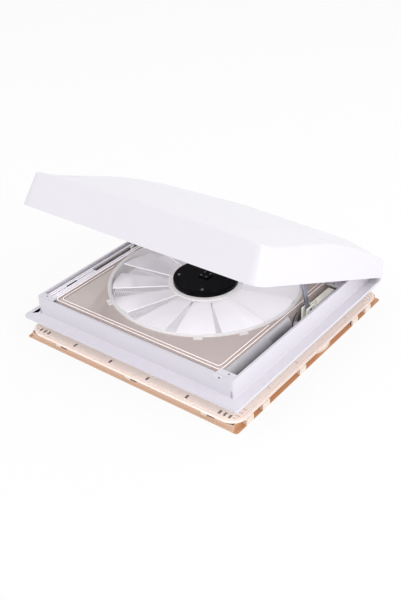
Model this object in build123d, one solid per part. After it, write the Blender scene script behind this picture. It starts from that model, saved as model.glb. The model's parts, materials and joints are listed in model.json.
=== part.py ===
from build123d import *
import math
import os

# Caravan roof vent with a fan, shown with its lid raised. Millimetres.
# X runs along the front edge, Y from the front edge to the hinge, Z up.
# The origin is the middle of the ceiling trim's underside.

# Overall sizes
roof_cutout = 400.0
roof_thickness = 27.5
flange_half = 240.2
trim_half = 240.0
upstand_half = 220.0
lid_half_width = 247.6
lid_open_angle = 24.86

# Common walls, fits and cuts
flat_gap = 0.3
run_gap = 0.05
overrun = 2.0
thin_wall = 2.5
shell_wall = 3.0

# Ceiling trim and the ledge above it
trim_plate = 3.0
trim_height = 12.0
trim_opening_half = 178.0
trim_corner_radius = 5.0
trim_rim = 1.2
trim_side_inset = 8.0
trim_front_inset = 3.5
trim_front_gap = 1.6
ledge_setback = 2.0
ledge_thickness = 4.0
ledge_corner_radius = 28.0
ledge_groove_inset = 4.5
ledge_groove_width = 1.2
ledge_groove_depth = 1.5
ledge_opening_half = 182.0
sleeve_height = 24.0
sleeve_gap = 0.4
ledge_slot_length = 9.0
ledge_slot_width = 4.0
ledge_slot_inset = 13.0
ledge_slot_pitch = 85.5
corner_slot_pitch = 10.0
corner_slot_start = 196.0
install_hole_radius = 2.2
install_hole_place = 224.0
trim_screw_radius = 2.6
trim_screw_head_radius = 4.6
trim_screw_head = 1.6
trim_screw_seat = 2.1
clip_height = trim_height - trim_rim
clip_width = 20.0
clip_depth = 5.5
tab_depth = 2.0
tab_span = 12.0
tab_height = 5.0
tab_notch_length = 14.0
tab_notch_depth = 5.0
arch_clip_width = 47.0
arch_clip_rise = 5.5
arch_clip_share = 0.16

# Outer frame: flange, upstand, channel floor and spigot
flange_thickness = 5.5
flange_corner_radius = 5.0
cove_radius = 4.0
upstand_height = 37.0
upstand_wall = 4.0
upstand_corner_radius = 5.0
notch_lift = 1.0
notch_height = 13.0
notch_width = 4.0
notch_depth = 2.5
notch_inset = 4.5
spigot_gap = 3.0
floor_thickness = 3.0
floor_drop = 30.0
floor_opening_half = 183.0
seal_thickness = 2.0
seal_inner_half = 204.0
seal_outer_half = 234.0
boss_wall = 2.5
boss_gap = 0.7
corner_post_side = 7.0
corner_post_hole_radius = 1.6
corner_post_hole_depth = 12.0

# Clear tray that carries the fan
tray_half_x = 187.0
tray_half_y = 208.0
tray_drop = 4.0
tray_plate = 2.5
tray_corner_radius = 8.0
tray_rib_height = 2.0
tray_rib_width = 1.6
tray_rib_gap = 7.0
tray_rib_edge = 1.0

# Fan shroud, guard and impeller
shroud_lip_radius = 182.5
shroud_lip_thickness = 2.2
shroud_wall = 2.5
shroud_outer_radius = 178.0
shroud_depth = 34.0
tray_hole_gap = 0.5
tab_length = 9.0
tab_width = 16.0
tab_angles = (238.0, 303.0, 327.0, 57.0, 122.0, 147.0)
guard_thickness = 2.6
guard_ring_width = 2.4
guard_ring_count = 13
guard_spoke_count = 12
guard_spoke_width = 4.0
guard_centre_radius = 46.0
guard_level = 50.0
blade_count = 12
blade_thickness = 2.0
blade_pitch_angle = 10.0
blade_rise = 15.5
blade_root_chord = 23.0
blade_tip_chord = 79.0
blade_inset = 1.5
fan_tip_gap = 2.5
fan_hub_radius = 44.0
fan_hub_height = 22.0
fan_level = 60.0
hub_cap_radius = 61.0
hub_cap_height = 9.0
hub_cap_level = 84.5
hub_cap_edge = 2.5
hub_collar_radius = 70.0
hub_screw_count = 4
hub_screw_radius = 2.6
hub_screw_place = 50.0
hub_screw_angle = 300.0
hub_screw_head = 1.6
hub_plug_side = 20.0
hub_plug_height = 2.0
hub_pip_height = 2.8
hub_pip_radius = 1.4
hub_pip_place = 6.0
shaft_radius = 4.0
bearing_radius = 9.0
bearing_length = 5.0
bearing_gap = 0.05
motor_radius = 36.0
motor_wall = 2.5
motor_height = 26.0
motor_case_height = 21.84
stator_radius = 29.0
stator_height = 11.0
stator_slots = 9
stator_slot_width = 5.0

# Insect screen
screen_frame_half = 190.3
screen_frame_bar = 13.0
screen_frame_height = 5.0
screen_corner_radius = 40.0
ledge_opening_radius = 30.0
screen_net_thickness = 0.8
screen_cells = 16
screen_thread = 1.4

# Side rails, foot brackets and lift arms
rail_half = 203.0
rail_width = 7.4
rail_height = 5.0
rail_back_end = 198.0
rail_gap_back = 150.0
fairing_front = 203.0
fairing_back = 24.0
fairing_gap = 1.0
fairing_drop = 1.0
fairing_wall = 1.6
fairing_rib = 0.6
fairing_pitch = 7.0
track_clear = 1.0
track_clear_ahead = 5.0
strip_thickness = 2.5
strip_drop = 1.5
strip_line_width = 1.2
strip_line_depth = 0.8
strip_line_pitch = 4.5
strip_back = 100.0
strip_slot_length = 25.0
strip_slot_width = 4.0
strip_slot_y = -147.5
strip_foot = 4.0
arm_x = 200.0
arm_pivot_y = 34.0
arm_pivot_rise = 8.0
arm_length = 103.0
arm_width = 10.0
arm_thickness = 3.0
arm_rest_angle = 72.049
arm_boss_radius = 7.0
arm_pin_radius = 2.5
arm_pin_length = 16.7
stay_length = 12.0
stay_width = 9.0
stay_thickness = 2.7
stay_foot = 8.0
bracket_length = 24.0
bracket_wall = 3.0
bracket_gap = 3.4
bracket_base = 3.0
bracket_block_length = 70.0
bracket_block_height = 20.0
roller_radius = 4.0
roller_length = 5.0
roller_pin_radius = 1.8
spring_wire_radius = 1.1
spring_rise = 24.0
spring_run = 14.0
spring_bow = 6.0
spring_foot_y = -8.0
spring_foot_width = 4.4
spring_foot_length = 8.8
terminal_length = 26.0
terminal_width = 10.0
terminal_height = 9.0
terminal_place = 124.0
terminal_ways = 3
terminal_hole_radius = 1.6

# Lid and hinge
hinge_y = 231.0
hinge_z = 69.0
hinge_pin_radius = 2.5
hinge_barrel_radius = 6.0
hinge_barrel_length = 26.0
hinge_leaf_height = 9.0
hinge_lug_length = 12.0
hinge_place = 150.0
hinge_pin_overhang = 2.0
lid_rim_drop = 10.0
lid_reach = 472.6
lid_back = 15.0
lid_corner_radius = 24.0
lid_lean_angle = 10.6
lid_wall = 3.0
lid_height = 110.0
lid_crown = 82.0
lid_seal_width = 7.0
lid_seal_height = 12.0
lid_pan_thickness = 2.5
lid_seal_inset = 1.0
lid_rail_width = 14.0
lid_rail_height = 5.0
lid_rail_lift = 3.0
track_gap = 0.4
track_margin = 4.0
track_play = 3.3
track_start = 244.0
track_end = 308.0

# Lid top: shares of the lid's reach from the hinge, with shares of the
# crown's height at the side edge and at the centre panel's crease.
lid_station_shares = (-0.10, 0.047, 0.11, 0.349, 0.527, 0.685, 0.829, 0.908, 0.956, 1.06)
lid_edge_shares = (0.30, 0.376, 0.486, 0.658, 0.72, 0.695, 0.66, 0.66, 0.715, 0.715)
lid_crease_shares = (0.44, 0.56, 0.70, 0.90, 0.955, 0.95, 0.885, 0.83, 0.785, 0.76)
lid_middle_shares = (0.50, 0.63, 0.78, 0.98, 1.0, 0.985, 0.92, 0.865, 0.82, 0.80)
lid_crease_width_share = 0.71
lid_over_width_share = 1.04

# Places of the front tabs along the trim, as shares of its half width
front_tab_shares = (-0.667, 0.033, 0.717)
side_tab_shares = (-0.848, -0.654, -0.181, 0.585, 0.792)

# Levels worked out from the stack
ledge_half = trim_half - ledge_setback
ledge_bottom = trim_height
ledge_top = ledge_bottom + ledge_thickness
flange_bottom = ledge_top + roof_thickness
flange_top = flange_bottom + flange_thickness
upstand_top = flange_top + upstand_height
floor_top = upstand_top - floor_drop
floor_bottom = floor_top - floor_thickness
tray_top = upstand_top - tray_drop
spigot_half = roof_cutout / 2 - spigot_gap
spigot_inner_half = spigot_half - shell_wall
sleeve_half = spigot_inner_half - sleeve_gap
upstand_inner_half = upstand_half - upstand_wall
seal_bottom = flange_bottom - seal_thickness
arm_pivot_z = hinge_z + arm_pivot_rise
lid_rim_z = hinge_z - lid_rim_drop
lid_pan_z = upstand_top + flat_gap + lid_seal_height
shroud_lip_bottom = tray_top
boss_radius = trim_screw_radius + boss_wall
trim_screw_place = sleeve_half - shell_wall - boss_gap - boss_radius

os.makedirs("parts", exist_ok=True)


def block(x0, x1, y0, y1, z0, z1):
    """A box between two corners."""
    centre = Pos((x0 + x1) / 2, (y0 + y1) / 2, (z0 + z1) / 2)
    return centre * Box(abs(x1 - x0), abs(y1 - y0), abs(z1 - z0))


def rounded(half_x, half_y, radius, z0, z1):
    """A plate with rounded corners, centred on the origin."""
    sketch = RectangleRounded(2 * half_x, 2 * half_y, radius)
    return Pos(0, 0, z0) * extrude(sketch, z1 - z0)


def square_ring(outer, inner, radius, z0, z1, inner_radius=None):
    """A square ring with rounded corners."""
    if inner_radius is None:
        inner_radius = max(radius - (outer - inner), radius / 4)
    hole = rounded(inner, inner, inner_radius, z0 - overrun, z1 + overrun)
    return rounded(outer, outer, radius, z0, z1) - hole


def disc(radius, z0, z1, x=0, y=0):
    """An upright cylinder between two levels."""
    return Pos(x, y, (z0 + z1) / 2) * Cylinder(radius, z1 - z0)


def tube(outer, inner, z0, z1):
    """An upright ring between two levels."""
    return disc(outer, z0, z1) - disc(inner, z0 - overrun, z1 + overrun)


def rod_x(radius, x0, x1, y, z):
    """A round bar along X."""
    return Pos((x0 + x1) / 2, y, z) * Rot(0, 90, 0) * Cylinder(radius, abs(x1 - x0))


def corners(place):
    """The four corners of a square pattern."""
    return [(sx * place, sy * place) for sx in (-1, 1) for sy in (-1, 1)]


def group(solids):
    """Separate solids kept together as one named node."""
    return Compound(children=[s for s in solids])


def lifted(shape):
    """Turn a piece of the closed lid to the raised rest pose."""
    hinge = Axis((0, hinge_y, hinge_z), (1, 0, 0))
    return shape.rotate(hinge, -lid_open_angle)


def save(name, shape):
    """Write one node."""
    shape.label = name
    export_step(shape, f"parts/{name}.step")


# Ceiling trim

def make_trim():
    """Tan ceiling trim: a flat plate with an inner and an outer wall."""
    half_x = trim_half - trim_side_inset
    half_y = trim_half - trim_front_inset
    body = square_ring(trim_half, trim_opening_half, trim_corner_radius, 0, trim_rim)
    shelf = rounded(half_x, half_y, trim_corner_radius, 0, trim_height)
    shelf -= rounded(half_x - thin_wall, half_y - thin_wall, trim_corner_radius - thin_wall,
                     trim_plate, trim_height + overrun)
    opening_half = trim_opening_half + thin_wall / 2
    body += shelf - block(-opening_half, opening_half, -opening_half, opening_half, -overrun,
                          trim_height + overrun)
    body += square_ring(trim_opening_half + thin_wall, trim_opening_half, trim_corner_radius / 2, 0,
                        trim_height)
    for side in (-1, 1):
        near = side * (half_y - thin_wall - overrun / 2)
        far = side * (half_y + overrun)
        body -= block(-half_x, half_x, near, far, trim_height - trim_front_gap, trim_height + overrun)
        for share in front_tab_shares:
            x = share * trim_half + tab_span / 2
            body -= block(x, x + tab_notch_length, near, far, trim_height - tab_notch_depth,
                          trim_height + overrun)
    for x, y in corners(install_hole_place):
        body += disc(install_hole_radius + thin_wall, 0, trim_height, x, y)
    for x, y in corners(install_hole_place):
        body -= disc(install_hole_radius, -overrun, trim_height + overrun, x, y)
    for x, y in corners(trim_screw_place):
        body += disc(boss_radius, trim_plate / 2, trim_height, x, y)
        body -= disc(trim_screw_radius, -overrun, trim_height + overrun, x, y)
        body -= disc(trim_screw_head_radius + flat_gap, -overrun, trim_screw_seat, x, y)
    return body


def ledge_slots():
    """Short slots near the ledge's edge, spread along it and crowded at the corners."""
    places = [k * ledge_slot_pitch / 2 for k in (-3, -1, 1, 3)]
    crowd = [corner_slot_start + k * corner_slot_pitch for k in range(3)]
    places += crowd + [-p for p in crowd]
    across = ledge_half - ledge_slot_inset
    cuts = []
    for p in places:
        for side in (-1, 1):
            size = (ledge_slot_width / 2, ledge_slot_length / 2)
            cuts.append(block(p - size[0], p + size[0], side * across - size[1], side * across + size[1],
                              ledge_bottom - overrun, ledge_top + overrun))
            cuts.append(block(side * across - size[1], side * across + size[1], p - size[0], p + size[0],
                              ledge_bottom - overrun, ledge_top + overrun))
    return cuts


def make_ledge():
    """Cream ledge that presses on the ceiling, with the sleeve inside the spigot."""
    body = square_ring(ledge_half, ledge_opening_half, ledge_corner_radius, ledge_bottom, ledge_top,
                       ledge_opening_radius)
    groove_outer = ledge_half - ledge_groove_inset
    body -= square_ring(groove_outer, groove_outer - ledge_groove_width,
                        ledge_corner_radius - ledge_groove_inset,
                        ledge_top - ledge_groove_depth, ledge_top + overrun)
    body += square_ring(sleeve_half, sleeve_half - shell_wall, upstand_corner_radius,
                        ledge_bottom, ledge_top + sleeve_height)
    for cut in ledge_slots():
        body -= cut
    for x, y in corners(install_hole_place):
        body -= disc(install_hole_radius, ledge_bottom - overrun, ledge_top + overrun, x, y)
    for x, y in corners(trim_screw_place):
        body -= disc(trim_screw_radius, ledge_bottom - overrun, ledge_top + overrun, x, y)
    return body


def make_clips():
    """Cream clip blocks between the trim plate and the ledge, outside the trim's wall."""
    inner = trim_half - trim_side_inset
    outer = inner + clip_depth
    front_inner = trim_half - trim_front_inset
    front_outer = front_inner + tab_depth
    solids = []
    for side in (-1, 1):
        for share in front_tab_shares:
            x = share * trim_half
            solids.append(block(x - tab_span / 2, x + tab_span / 2, side * front_inner, side * front_outer,
                                trim_height - tab_height, trim_height))
        for share in side_tab_shares:
            y = share * trim_half
            solids.append(block(side * inner, side * outer, y - clip_width / 2, y + clip_width / 2,
                                trim_rim, trim_height))
    return group(solids)


def make_arch_clips():
    """Curved spring clips that bow out at the middle of each side."""
    inner = trim_half - trim_side_inset
    y_mid = trim_half * arch_clip_share
    half = arch_clip_width / 2
    solids = []
    for side in (-1, 1):
        outer_arc = ThreePointArc((side * inner, y_mid - half), (side * (inner + arch_clip_rise), y_mid),
                                  (side * inner, y_mid + half))
        base = Line((side * inner, y_mid + half), (side * inner, y_mid - half))
        face = make_face(Curve() + [outer_arc, base])
        solids.append(Pos(0, 0, trim_rim) * extrude(face, clip_height))
    return group(solids)


def make_trim_screws():
    """Four screws that clamp the trim and ledge up to the frame's corner bosses."""
    tip = floor_bottom - floor_thickness
    solids = []
    for x, y in corners(trim_screw_place):
        head = disc(trim_screw_head_radius, trim_screw_seat - trim_screw_head, trim_screw_seat, x, y)
        solids.append(head + disc(trim_screw_radius - flat_gap, trim_screw_seat - trim_screw_head / 2, tip,
                                  x, y))
    return group(solids)


# Outer frame

def make_outer_frame():
    """White frame: roof flange, upstand, inner channel floor and spigot."""
    body = square_ring(flange_half, spigot_inner_half, flange_corner_radius, flange_bottom, flange_top)
    body += square_ring(upstand_half, upstand_inner_half, upstand_corner_radius, flange_bottom, upstand_top)
    floor = rounded(upstand_half - thin_wall, upstand_half - thin_wall, upstand_corner_radius,
                    floor_bottom, floor_top)
    floor -= block(-floor_opening_half, floor_opening_half, -spigot_inner_half, spigot_inner_half,
                   floor_bottom - overrun, floor_top + overrun)
    body += floor
    body += square_ring(spigot_half, spigot_inner_half, upstand_corner_radius, ledge_top, floor_top)
    cove_half = upstand_half + cove_radius
    cove = rounded(cove_half, cove_half, flange_corner_radius, flange_top, flange_top + cove_radius)
    inner_cut = rounded(upstand_inner_half, upstand_inner_half, upstand_corner_radius,
                        flange_top - overrun, flange_top + cove_radius + overrun)
    cove -= inner_cut
    for turn in range(4):
        bar = rod_x(cove_radius, -flange_half, flange_half, cove_half, flange_top + cove_radius)
        cove -= Rot(0, 0, 90 * turn) * bar
    body += cove
    for x in (-upstand_half + notch_inset, upstand_half - notch_inset):
        body -= block(x - notch_width / 2, x + notch_width / 2, -upstand_half - overrun,
                      -upstand_half + notch_depth,
                      flange_top + notch_lift, flange_top + notch_lift + notch_height)
    post = upstand_inner_half - corner_post_side / 2
    for x, y in corners(post):
        side = corner_post_side / 2 + overrun / 2
        body += block(x - side, x + side, y - side, y + side, floor_top, upstand_top)
    for x, y in corners(post):
        body -= disc(corner_post_hole_radius, upstand_top - corner_post_hole_depth, upstand_top + overrun,
                     x, y)
    for x, y in corners(trim_screw_place):
        body += disc(boss_radius, ledge_top, floor_top, x, y)
        body -= disc(trim_screw_radius, ledge_top - overrun, floor_bottom, x, y)
    return body


def make_roof_seal():
    """Foam seal under the flange."""
    return square_ring(seal_outer_half, seal_inner_half, flange_corner_radius, seal_bottom, flange_bottom)


# Clear tray and fan

def make_tray():
    """Clear tray with side walls that stand on the channel floor and raised double ribs."""
    body = rounded(tray_half_x, tray_half_y, tray_corner_radius, floor_top, tray_top)
    inner_x = tray_half_x - tray_plate
    inner_y = tray_half_y - tray_plate
    body -= rounded(inner_x, inner_y, tray_corner_radius - tray_plate,
                    floor_top - overrun, tray_top - tray_plate)
    for step in range(2):
        inset = tray_rib_edge + step * tray_rib_gap
        half_x = tray_half_x - inset
        half_y = tray_half_y - inset
        rib = rounded(half_x, half_y, tray_corner_radius, tray_top, tray_top + tray_rib_height)
        rib -= rounded(half_x - tray_rib_width, half_y - tray_rib_width,
                       tray_corner_radius - tray_rib_width,
                       tray_top - overrun, tray_top + tray_rib_height + overrun)
        if step:
            rib -= disc(shroud_lip_radius + flat_gap, tray_top - overrun / 2,
                        tray_top + tray_rib_height + overrun)
        body += rib
    body -= disc(shroud_lip_radius + flat_gap, tray_top, tray_top + tray_rib_height + overrun)
    body -= disc(shroud_outer_radius + tray_hole_gap, floor_top, tray_top + overrun)
    return body


def make_shroud():
    """Clear ring round the fan, with a lip on the tray and clip tabs."""
    lip_top = shroud_lip_bottom + shroud_lip_thickness
    body = tube(shroud_lip_radius, shroud_outer_radius - shroud_wall, shroud_lip_bottom, lip_top)
    body += tube(shroud_outer_radius, shroud_outer_radius - shroud_wall, lip_top - shroud_depth, lip_top)
    for angle in tab_angles:
        radius = shroud_lip_radius + tab_length / 2 - overrun
        tab = Pos(radius, 0, lip_top - shroud_lip_thickness / 2) * Box(tab_length, tab_width,
                                                                       shroud_lip_thickness)
        body += Rot(0, 0, angle) * tab
    limit = block(-tray_half_x + overrun * 2, tray_half_x - overrun * 2, -tray_half_y, tray_half_y, 0,
                  lip_top + overrun)
    return body & limit


def make_guard():
    """Finger guard under the blades: round ribs joined by spokes, with the motor's seat."""
    top = guard_level + guard_thickness
    outer = shroud_outer_radius - shroud_wall
    body = disc(guard_centre_radius, guard_level, top)
    ring_pitch = (outer - guard_centre_radius) / guard_ring_count
    for k in range(1, guard_ring_count + 1):
        radius = guard_centre_radius + k * ring_pitch
        body += tube(radius, radius - guard_ring_width, guard_level, top)
    for k in range(guard_spoke_count):
        length = outer - guard_centre_radius
        bar = Pos(guard_centre_radius + length / 2 - overrun / 2, 0, (guard_level + top) / 2)
        bar = bar * Box(length, guard_spoke_width, guard_thickness)
        body += Rot(0, 0, 360 * k / guard_spoke_count) * bar
    body &= disc(outer, guard_level - overrun, top + overrun)
    body -= disc(shaft_radius + overrun, guard_level - overrun, top + overrun)
    return body


def make_impeller():
    """Twelve pitched blades on a hub."""
    tip = shroud_outer_radius - shroud_wall - fan_tip_gap
    hub_top = fan_level + fan_hub_height
    body = disc(fan_hub_radius, hub_top - shell_wall, hub_top)
    body += tube(fan_hub_radius, fan_hub_radius - shell_wall, fan_level, hub_top)
    mid = fan_level + blade_rise
    start = fan_hub_radius - blade_inset
    for k in range(blade_count):
        outline = make_face(Polyline(
            (start, -blade_root_chord / 2), (tip, -blade_tip_chord / 2),
            (tip, blade_tip_chord / 2), (start, blade_root_chord / 2), close=True))
        blade = Pos(0, 0, -blade_thickness / 2) * extrude(outline, blade_thickness)
        blade = Pos(0, 0, mid) * Rot(blade_pitch_angle, 0, 0) * blade
        body += Rot(0, 0, 360 * k / blade_count) * blade
    envelope = tube(tip, fan_hub_radius - shell_wall, fan_level, hub_top + overrun)
    envelope += disc(fan_hub_radius, fan_level, hub_top)
    body &= envelope
    body += tube(shaft_radius + shell_wall, shaft_radius, hub_top - fan_hub_height / 2, hub_top)
    body -= disc(shaft_radius, fan_level, hub_top + overrun)
    return body


def make_shaft():
    """Steel fan shaft from the lower bearing to the hub."""
    return disc(shaft_radius, guard_level + guard_thickness / 2 - bearing_length,
                fan_level + fan_hub_height)


def make_hub_collar():
    """Clear collar between the blades and the black cap."""
    low = fan_level + fan_hub_height
    return tube(hub_collar_radius, shaft_radius + overrun, low, hub_cap_level)


def make_hub_cap():
    """Glossy black cap with a rounded edge."""
    top = hub_cap_level + hub_cap_height
    body = disc(hub_cap_radius, hub_cap_level, top)
    edge = body.faces().sort_by(Axis.Z)[-1].edges()
    return fillet(edge, hub_cap_edge)


def make_hub_screws():
    """Screw heads on the cap."""
    top = hub_cap_level + hub_cap_height
    solids = []
    for k in range(hub_screw_count):
        angle = math.radians(hub_screw_angle + 360 * k / hub_screw_count)
        x = hub_screw_place * math.cos(angle)
        y = hub_screw_place * math.sin(angle)
        head = disc(hub_screw_radius, top, top + hub_screw_head, x, y)
        slot = block(x - hub_screw_radius, x + hub_screw_radius, y - hub_screw_head / 4,
                     y + hub_screw_head / 4,
                     top + hub_screw_head / 2, top + hub_screw_head + overrun)
        solids.append(head - slot)
    return group(solids)


def make_hub_plug():
    """Square centre plug with four pips."""
    top = hub_cap_level + hub_cap_height
    half = hub_plug_side / 2
    body = block(-half, half, -half, half, top, top + hub_plug_height)
    for x, y in corners(hub_pip_place):
        body += disc(hub_pip_radius, top, top + hub_pip_height, x, y)
    return body


# Motor under the hub

def make_motor_case():
    """Cup on the guard that holds the lower bearing."""
    low = guard_level + guard_thickness
    top = low + motor_case_height
    inner = motor_radius - motor_wall
    body = disc(motor_radius, low, top) - disc(inner, low + motor_wall, top + overrun)
    body += tube(bearing_radius + motor_wall, bearing_radius, low, low + bearing_length + motor_wall)
    body -= disc(bearing_radius, low + motor_wall, top)
    body -= disc(shaft_radius + overrun / 2, low - overrun, top)
    return body


def make_stator():
    """Iron stator with slots, on the bearing tube."""
    low = guard_level + guard_thickness + motor_wall
    top = low + stator_height
    body = tube(stator_radius, bearing_radius + motor_wall + flat_gap, low, top)
    for k in range(stator_slots):
        radius = (stator_radius + bearing_radius + motor_wall * 2 + thin_wall) / 2
        length = stator_radius - bearing_radius - motor_wall * 3
        cut = Pos(radius + overrun, 0, (low + top) / 2) * Box(length + overrun, stator_slot_width,
                                                              stator_height + overrun)
        body -= Rot(0, 0, 360 * k / stator_slots) * cut
    return body


def make_bearing():
    """Plain bearing in the case round the shaft."""
    low = guard_level + guard_thickness + motor_wall
    return tube(bearing_radius, shaft_radius + bearing_gap, low, low + bearing_length)


# Insect screen

def make_screen_frame():
    """Frame of the insect screen, resting on the ledge."""
    inner = screen_frame_half - screen_frame_bar
    inner_radius = screen_corner_radius - screen_frame_bar
    return square_ring(screen_frame_half, inner, screen_corner_radius, ledge_top,
                       ledge_top + screen_frame_height, inner_radius)


def make_screen_net():
    """Insect net as one holed face inside the frame."""
    half = screen_frame_half - screen_frame_bar
    low = ledge_top + screen_frame_height / 2
    pitch = 2 * half / screen_cells
    corner = screen_corner_radius - screen_frame_bar
    centre = half - corner
    gap = Rectangle(pitch - screen_thread, pitch - screen_thread)
    places = []
    for i in range(screen_cells):
        for j in range(screen_cells):
            x = -half + pitch * (i + 0.5)
            y = -half + pitch * (j + 0.5)
            past_x = abs(x) + pitch / 2 - centre
            past_y = abs(y) + pitch / 2 - centre
            if min(past_x, past_y) < 0 or math.hypot(past_x, past_y) < corner:
                places.append(Pos(x, y))
    net = RectangleRounded(2 * half, 2 * half, corner) - [place * gap for place in places]
    return Pos(0, 0, low) * extrude(net, screen_net_thickness)


# Side rails, brackets and arms

def make_rail(side):
    """Strip at the back of one side channel, on two feet."""
    y0, y1 = rail_gap_back, rail_back_end
    body = block(side * (rail_half - rail_width / 2), side * (rail_half + rail_width / 2), y0, y1,
                 tray_top - rail_height, tray_top)
    foot_half = rail_width / 3
    for y in (y0 + rail_width, y1 - rail_width):
        body += block(side * (rail_half - foot_half), side * (rail_half + foot_half), y - foot_half,
                      y + foot_half,
                      floor_top, tray_top - rail_height)
    return body


def track_path(side):
    """Space that the closed lid's track, roller and arm take up in one channel."""
    x0 = side * (arm_x - arm_thickness / 2 - track_clear)
    x1 = side * (arm_x + arm_thickness / 2 + flat_gap + roller_length + track_clear)
    return block(x0, x1, lid_y(track_end + track_margin) - track_clear_ahead, strip_back + overrun,
                 floor_top - overrun, upstand_top)


def make_fairing():
    """Curved ribbed skin that falls from the tray's right edge to the channel floor."""
    width = upstand_inner_half - fairing_gap - tray_half_x - flat_gap
    height = tray_top - fairing_drop - floor_top
    inner = Ellipse(width - fairing_wall, height - fairing_wall)
    quarter = Pos(width / 2, height / 2) * Rectangle(width, height)
    skin = (Ellipse(width - fairing_rib, height - fairing_rib) - inner) & quarter
    rib = (Ellipse(width, height) - inner) & quarter
    x0 = tray_half_x + flat_gap
    plane = Plane(origin=(x0, -fairing_front, floor_top), x_dir=(1, 0, 0), z_dir=(0, -1, 0))
    length = fairing_front - fairing_back
    body = plane * extrude(skin, -length)
    for k in range(int(length / fairing_pitch)):
        y = -fairing_front + fairing_pitch * (k + 0.5)
        rib_plane = Plane(origin=(x0, y, floor_top), x_dir=(1, 0, 0), z_dir=(0, -1, 0))
        body += rib_plane * extrude(rib, -fairing_pitch / 2)
    return body - track_path(1)


def make_strip():
    """Flat lined strip over the left channel, with a short slot and feet on the channel floor."""
    x0 = -(tray_half_x + flat_gap)
    x1 = -(upstand_inner_half - fairing_gap)
    top = tray_top - strip_drop
    body = block(x0, x1, -fairing_front, strip_back, top - strip_thickness, top)
    for k in range(int((x0 - x1) / strip_line_pitch)):
        x = x0 - strip_line_pitch * (k + 0.5)
        body -= block(x, x - strip_line_width, -fairing_front - overrun, strip_back + overrun,
                      top - strip_line_depth, top + overrun)
    body -= block(x0, -(arm_x - arm_thickness / 2 - track_clear), -fairing_back, strip_back + overrun,
                  floor_top, tray_top)
    x = (x0 + x1) / 2
    body -= block(x - strip_slot_width / 2, x + strip_slot_width / 2, strip_slot_y - strip_slot_length / 2,
                  strip_slot_y + strip_slot_length / 2, floor_top, tray_top)
    body -= track_path(-1)
    for y in (-fairing_front, strip_slot_y + strip_slot_length, strip_back - strip_foot):
        body += block(x1, x1 + strip_foot, y, y + strip_foot, floor_top, top - strip_thickness / 2)
    for y in (-fairing_front, -fairing_back - strip_foot):
        body += block(x0 - strip_foot, x0, y, y + strip_foot, floor_top, top - strip_thickness / 2)
    return body


def make_bracket(side):
    """Foot bracket: a forked stand for the arm's pivot and a mechanism block behind it."""
    half_gap = bracket_gap
    outer = half_gap + bracket_wall
    x_in = side * (arm_x - outer)
    x_out = side * (arm_x + outer)
    y0 = arm_pivot_y - bracket_length / 2
    y1 = arm_pivot_y + bracket_length / 2
    top = arm_pivot_z + arm_pin_radius + bracket_wall
    body = block(x_in, x_out, y0, y1, floor_top, top)
    body -= block(side * (arm_x - half_gap), side * (arm_x + half_gap), y0 - overrun, y1 + overrun,
                  floor_top + bracket_base, top + overrun)
    body += block(x_in, x_out, y1, y1 + bracket_block_length, floor_top, floor_top + bracket_block_height)
    body -= block(side * (arm_x - half_gap), side * (arm_x + half_gap), y1 - overrun, y1 + bracket_length,
                  floor_top + bracket_base, top + overrun)
    body -= rod_x(arm_pin_radius + run_gap, x_in - side * overrun, x_out + side * overrun, arm_pivot_y,
                  arm_pivot_z)
    return body


def make_arm_pin(side):
    """Pivot pin through the bracket and the arm."""
    outer = bracket_gap + bracket_wall + flat_gap
    return rod_x(arm_pin_radius, side * (arm_x + outer - arm_pin_length), side * (arm_x + outer),
                 arm_pivot_y, arm_pivot_z)


def make_stay(side):
    """Black steel stay from the pivot pin down to the channel floor in front."""
    outer = side * (arm_x - bracket_gap - bracket_wall - flat_gap)
    inner = outer - side * stay_thickness
    foot_y = arm_pivot_y - stay_length
    face = make_face(Polyline(
        (arm_pivot_y + stay_width / 2, arm_pivot_z), (foot_y + stay_foot, floor_top),
        (foot_y - stay_foot, floor_top), (foot_y - stay_foot, floor_top + stay_thickness),
        (arm_pivot_y - stay_width / 2, arm_pivot_z), close=True))
    body = Plane(origin=(min(outer, inner), 0, 0), x_dir=(0, 1, 0), z_dir=(1, 0, 0)) * extrude(face,
                                                                                               stay_thickness)
    body += rod_x(stay_width / 2, inner, outer, arm_pivot_y, arm_pivot_z)
    body -= rod_x(arm_pin_radius + run_gap, inner - side * overrun, outer + side * overrun, arm_pivot_y,
                  arm_pivot_z)
    return body


def make_spring(side):
    """Bent spring wire that stands in the channel in front of the arm."""
    x = side * (arm_x - bracket_gap - bracket_wall / 2)
    top_y = spring_foot_y + spring_run
    low = floor_top + spring_wire_radius
    path = ThreePointArc((x, spring_foot_y, low),
                         (x, spring_foot_y + spring_run / 2 - spring_bow, low + spring_rise / 2),
                         (x, top_y, low + spring_rise))
    start = Plane(origin=path @ 0, z_dir=path % 0)
    wire = sweep(start * Circle(spring_wire_radius), path=path)
    foot = Pos(x, spring_foot_y, floor_top + spring_wire_radius) * Box(
        spring_foot_width, spring_foot_length, spring_wire_radius * 2)
    return wire + foot


def make_terminal():
    """Small terminal block for the fan's wires in the right channel."""
    x_mid = arm_x - bracket_gap
    x0 = x_mid - terminal_width / 2
    body = block(x0, x0 + terminal_width, terminal_place, terminal_place + terminal_length,
                 floor_top, floor_top + terminal_height)
    pitch = terminal_length / terminal_ways
    for k in range(terminal_ways):
        y = terminal_place + pitch * (k + 0.5)
        body -= disc(terminal_hole_radius, floor_top + terminal_height / 2,
                     floor_top + terminal_height + overrun, x_mid, y)
    return body


def arm_point(distance):
    """A point on the raised arm's centre line, as (y, z)."""
    angle = math.radians(arm_rest_angle)
    return arm_pivot_y - distance * math.cos(angle), arm_pivot_z + distance * math.sin(angle)


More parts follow.
